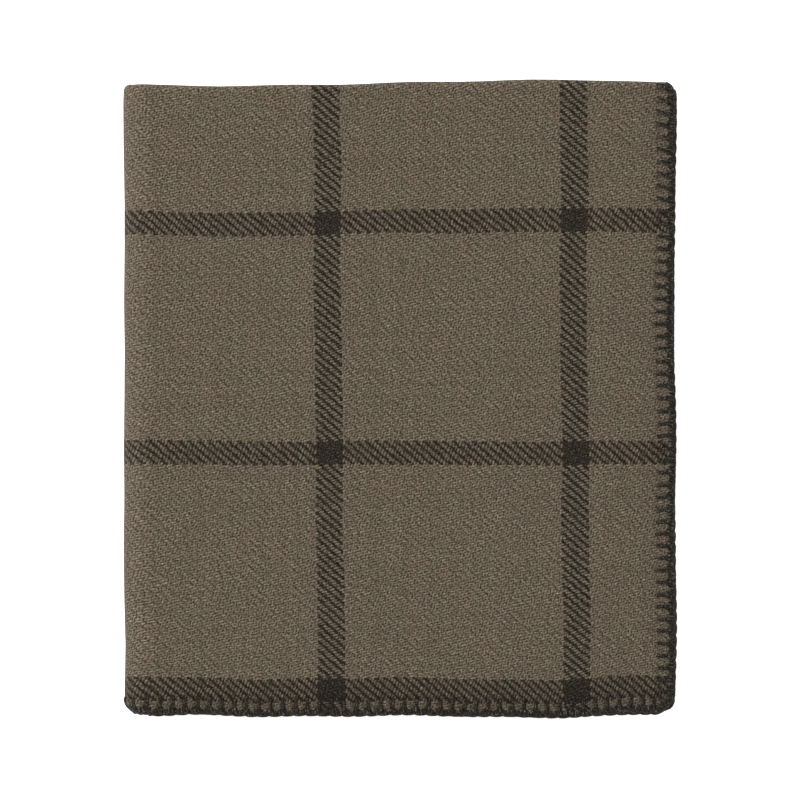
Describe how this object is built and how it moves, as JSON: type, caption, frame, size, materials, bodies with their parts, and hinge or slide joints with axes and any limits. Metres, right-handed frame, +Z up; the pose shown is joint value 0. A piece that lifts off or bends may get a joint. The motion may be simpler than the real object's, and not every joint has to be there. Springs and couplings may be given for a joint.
{
  "type": "camp blanket",
  "caption": "Woven wool throw with a windowpane check and blanket-stitched hems, folded flat into a thick rectangular bundle that opens like a book.",
  "frame": {"origin": "middle of the folded bundle's underside, where it rests", "axes": "+X across the bundle from the thick fold to the stitched side hem, +Y along it from the stitched end hem to the back fold, +Z up through the plies"},
  "size_m": [0.331, 0.38, 0.0349],
  "materials": {
    "wool_cloth": "napped 2/2 twill, heathered olive brown with charcoal windowpane lines",
    "hem_yarn": "plied charcoal wool yarn, matt"
  },
  "bodies": {
    "lower_half": {"cloth_second_leaf": "wool_cloth", "cloth_bottom_leaf": "wool_cloth", "cloth_outer_left_fold": "wool_cloth", "cloth_inner_left_fold": "wool_cloth", "cloth_right_fold": "wool_cloth", "head_hem_stitching_second": "hem_yarn", "head_hem_stitching_bottom": "hem_yarn", "head_hem_stitching_outer_left_fold": "hem_yarn", "head_hem_stitching_inner_left_fold": "hem_yarn", "head_hem_stitching_right_fold": "hem_yarn", "foot_hem_stitching_second": "hem_yarn", "foot_hem_stitching_bottom": "hem_yarn", "foot_hem_stitching_outer_left_fold": "hem_yarn", "foot_hem_stitching_inner_left_fold": "hem_yarn", "foot_hem_stitching_right_fold": "hem_yarn"},
    "upper_half": {"cloth_top_leaf": "wool_cloth", "cloth_third_leaf": "wool_cloth", "side_hem_stitching_top": "hem_yarn", "side_hem_stitching_third": "hem_yarn", "head_hem_stitching_top": "hem_yarn", "head_hem_stitching_third": "hem_yarn", "foot_hem_stitching_top": "hem_yarn", "foot_hem_stitching_third": "hem_yarn"}
  },
  "joints": [
    {"name": "book_fold", "type": "hinge", "parent": "lower_half", "child": "upper_half", "pos_m": [-0.14805, 0, 0.01745], "axis": [0, -1, 0], "range_deg": [0, 179.9], "deforming": ["cloth_outer_left_fold", "cloth_inner_left_fold", "head_hem_stitching_outer_left_fold", "head_hem_stitching_inner_left_fold", "foot_hem_stitching_outer_left_fold", "foot_hem_stitching_inner_left_fold"]}
  ]
}
